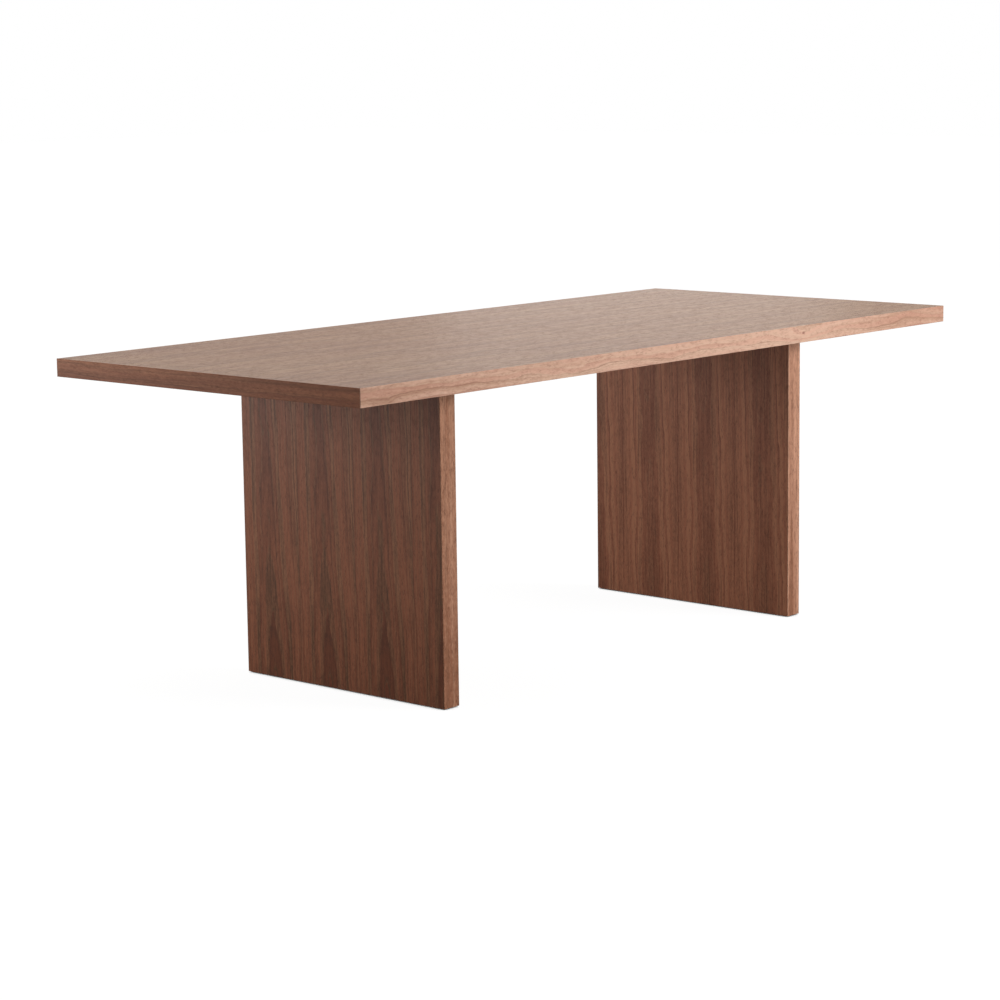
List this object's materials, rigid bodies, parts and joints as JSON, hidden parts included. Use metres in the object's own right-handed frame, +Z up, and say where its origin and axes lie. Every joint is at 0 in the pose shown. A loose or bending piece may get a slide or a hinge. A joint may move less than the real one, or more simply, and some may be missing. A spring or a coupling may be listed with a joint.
{
  "type": "dining table",
  "caption": "Rectangular dining table with a thick flush-edged walnut-veneered top on broad slab legs set in from its ends.",
  "frame": {"origin": "on the floor, under the middle of the top", "axes": "+X along the length towards the right-hand leg, +Y from the front long edge to the back one, +Z up"},
  "size_m": [2.11, 0.925, 0.75],
  "materials": {
    "walnut_veneer": "walnut veneer and edge band under a satin clear lacquer",
    "mdf_skin": "raw medium-density fibreboard",
    "poplar_frame": "planed poplar, unfinished",
    "blackened_steel": "fine-textured black powder coat on 6 mm steel",
    "zinc_steel": "bright zinc plate",
    "nylon_pad": "moulded black nylon"
  },
  "bodies": {
    "table": {"left_foot_nuts": "zinc_steel", "left_leg_back_edge_band": "walnut_veneer", "left_leg_back_stile": "poplar_frame", "left_leg_foot_rail": "poplar_frame", "left_leg_front_edge_band": "walnut_veneer", "left_leg_front_stile": "poplar_frame", "left_leg_head_rail": "poplar_frame", "left_leg_inner_skin": "mdf_skin", "left_leg_inner_veneer": "walnut_veneer", "left_leg_middle_rail": "poplar_frame", "left_leg_outer_skin": "mdf_skin", "left_leg_outer_veneer": "walnut_veneer", "left_mounting_bracket": "blackened_steel", "left_top_bolts": "zinc_steel", "left_top_nuts": "zinc_steel", "right_foot_nuts": "zinc_steel", "right_leg_back_edge_band": "walnut_veneer", "right_leg_back_stile": "poplar_frame", "right_leg_foot_rail": "poplar_frame", "right_leg_front_edge_band": "walnut_veneer", "right_leg_front_stile": "poplar_frame", "right_leg_head_rail": "poplar_frame", "right_leg_inner_skin": "mdf_skin", "right_leg_inner_veneer": "walnut_veneer", "right_leg_middle_rail": "poplar_frame", "right_leg_outer_skin": "mdf_skin", "right_leg_outer_veneer": "walnut_veneer", "right_mounting_bracket": "blackened_steel", "right_top_bolts": "zinc_steel", "right_top_nuts": "zinc_steel", "top_back_edge_band": "walnut_veneer", "top_back_rail": "poplar_frame", "top_cross_rail_1": "poplar_frame", "top_cross_rail_2": "poplar_frame", "top_cross_rail_3": "poplar_frame", "top_face_veneer": "walnut_veneer", "top_front_edge_band": "walnut_veneer", "top_front_rail": "poplar_frame", "top_left_edge_band": "walnut_veneer", "top_left_end_rail": "poplar_frame", "top_left_fixing_rail": "poplar_frame", "top_lower_skin": "mdf_skin", "top_right_edge_band": "walnut_veneer", "top_right_end_rail": "poplar_frame", "top_right_fixing_rail": "poplar_frame", "top_spine_rail": "poplar_frame", "top_underside_veneer": "walnut_veneer", "top_upper_skin": "mdf_skin"},
    "left_front_glide": {"left_front_glide_stem": "zinc_steel", "left_front_glide_pad": "nylon_pad"},
    "left_back_glide": {"left_back_glide_stem": "zinc_steel", "left_back_glide_pad": "nylon_pad"},
    "right_front_glide": {"right_front_glide_stem": "zinc_steel", "right_front_glide_pad": "nylon_pad"},
    "right_back_glide": {"right_back_glide_stem": "zinc_steel", "right_back_glide_pad": "nylon_pad"}
  },
  "joints": [
    {"name": "left_front_glide_travel", "type": "slide", "parent": "table", "child": "left_front_glide", "axis": [0, 0, -1], "range_m": [0, 0.012]},
    {"name": "left_back_glide_travel", "type": "slide", "parent": "table", "child": "left_back_glide", "axis": [0, 0, -1], "range_m": [0, 0.012]},
    {"name": "right_front_glide_travel", "type": "slide", "parent": "table", "child": "right_front_glide", "axis": [0, 0, -1], "range_m": [0, 0.012]},
    {"name": "right_back_glide_travel", "type": "slide", "parent": "table", "child": "right_back_glide", "axis": [0, 0, -1], "range_m": [0, 0.012]}
  ]
}
